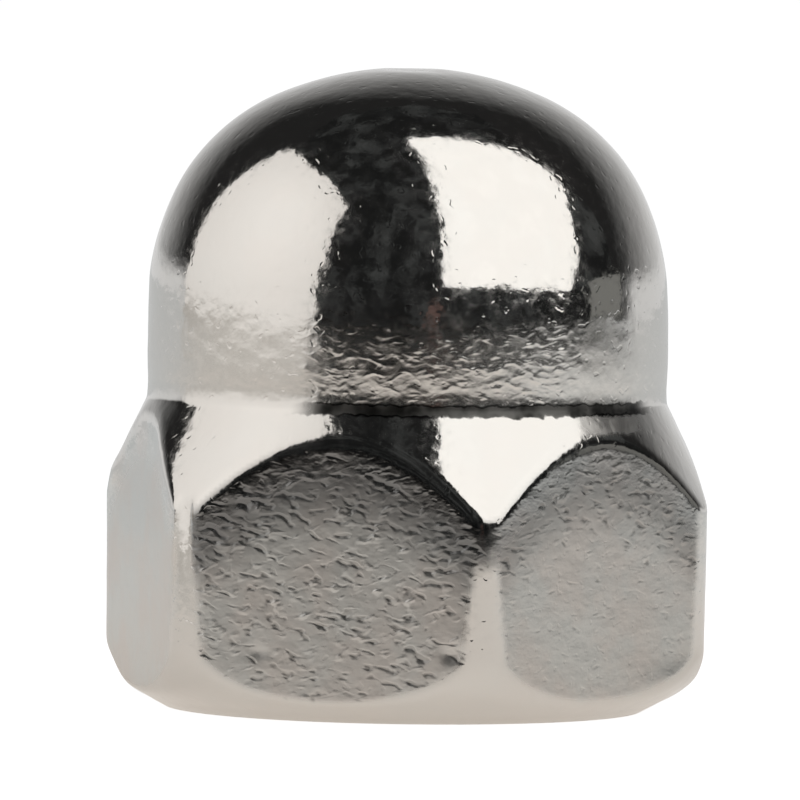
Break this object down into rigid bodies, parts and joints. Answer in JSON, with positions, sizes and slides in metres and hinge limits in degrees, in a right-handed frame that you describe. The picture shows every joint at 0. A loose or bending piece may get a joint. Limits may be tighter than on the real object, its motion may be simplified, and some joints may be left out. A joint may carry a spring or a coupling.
{
  "type": "cap nut",
  "caption": "Domed cap nut: a hexagon with a blind threaded hole, closed by a rounded cap that covers the end of the screw.",
  "frame": {"origin": "centre of the bearing face, on the axis of the thread", "axes": "+Z along the axis of the thread, out through the pole of the dome; +X through a corner of the hexagon; +Y square to a flat"},
  "size_m": [0.0112, 0.01, 0.0116],
  "materials": {
    "steel": "polished stainless steel with a rough, pitted skin on the hexagon"
  },
  "bodies": {
    "root": {"cap_nut": "steel"}
  },
  "joints": []
}
